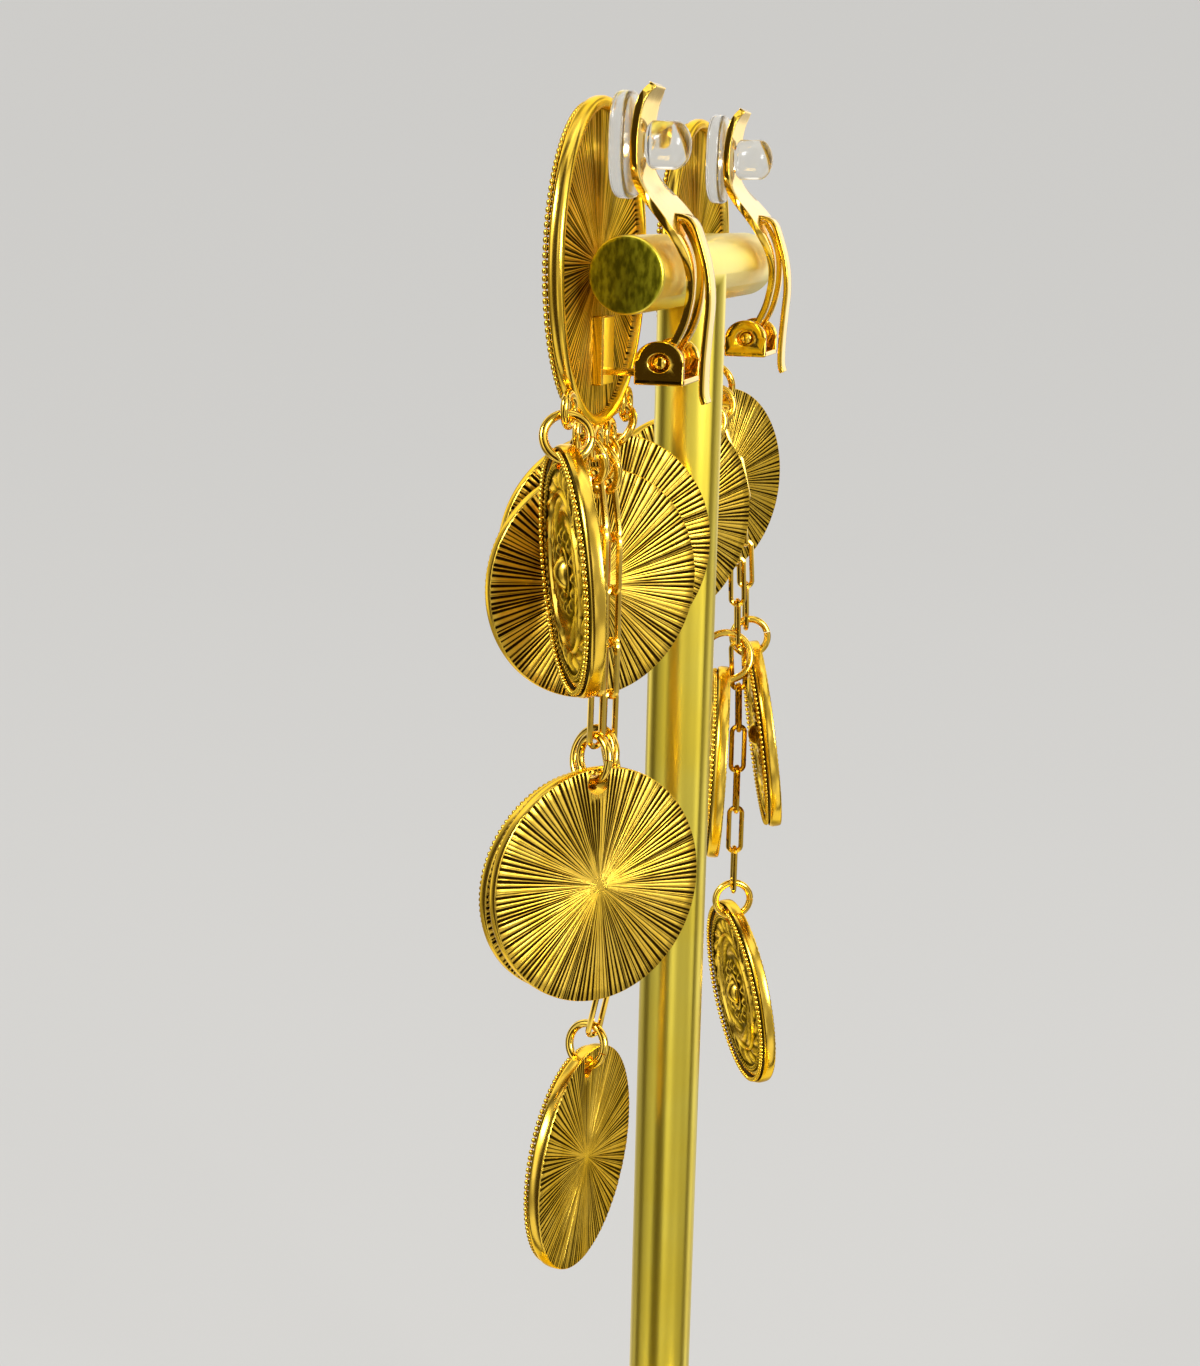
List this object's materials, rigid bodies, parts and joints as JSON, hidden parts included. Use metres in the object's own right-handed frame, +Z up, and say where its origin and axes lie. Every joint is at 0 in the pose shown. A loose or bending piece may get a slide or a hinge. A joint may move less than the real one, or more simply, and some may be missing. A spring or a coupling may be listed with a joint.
{
  "type": "chandelier earring",
  "caption": "Pair of clip-on chandelier earrings with tiers of hanging cast discs on chains, shown on a T-bar stand.",
  "frame": {"origin": "middle of the underside of the stand's round base, on the post's axis", "axes": "+Z up along the post, X along the crossbar, the earrings' fronts face -Y"},
  "size_m": [0.0737, 0.058, 0.1505],
  "materials": {
    "polished_gold": "polished gold plate",
    "satin_gold": "satin gold plate",
    "clear_silicone": "clear soft silicone"
  },
  "bodies": {
    "earrings_on_stand": {"stand_tbar": "satin_gold", "stand_base": "satin_gold", "right_top_disc": "polished_gold", "right_upper_outer_ring": "polished_gold", "right_upper_outer_disc": "polished_gold", "right_upper_middle_ring": "polished_gold", "right_upper_middle_disc": "polished_gold", "right_upper_inner_ring": "polished_gold", "right_upper_inner_disc": "polished_gold", "right_lower_long_ring": "polished_gold", "right_lower_long_disc": "polished_gold", "right_lower_short_ring": "polished_gold", "right_lower_short_disc": "polished_gold", "right_bottom_ring": "polished_gold", "right_bottom_disc": "polished_gold", "right_short_chain_ring": "polished_gold", "right_short_chain": "polished_gold", "right_long_chain_ring": "polished_gold", "right_long_chain": "polished_gold", "left_top_disc": "polished_gold", "left_upper_outer_ring": "polished_gold", "left_upper_outer_disc": "polished_gold", "left_upper_middle_ring": "polished_gold", "left_upper_middle_disc": "polished_gold", "left_upper_inner_ring": "polished_gold", "left_upper_inner_disc": "polished_gold", "left_lower_long_ring": "polished_gold", "left_lower_long_disc": "polished_gold", "left_lower_short_ring": "polished_gold", "left_lower_short_disc": "polished_gold", "left_bottom_ring": "polished_gold", "left_bottom_disc": "polished_gold", "left_short_chain_ring": "polished_gold", "left_short_chain": "polished_gold", "left_long_chain_ring": "polished_gold", "left_long_chain": "polished_gold"},
    "right_lever": {"right_clip_lever": "polished_gold", "right_comfort_pad": "clear_silicone"},
    "left_lever": {"left_clip_lever": "polished_gold", "left_comfort_pad": "clear_silicone"}
  },
  "joints": [
    {"name": "right_clip_hinge", "type": "hinge", "parent": "earrings_on_stand", "child": "right_lever", "pos_m": [0.016, 0.00185, 0.1292], "axis": [-1, 0, 0], "range_deg": [0, 60]},
    {"name": "left_clip_hinge", "type": "hinge", "parent": "earrings_on_stand", "child": "left_lever", "pos_m": [-0.019, 0.00185, 0.1292], "axis": [-1, 0, 0], "range_deg": [0, 60]}
  ]
}
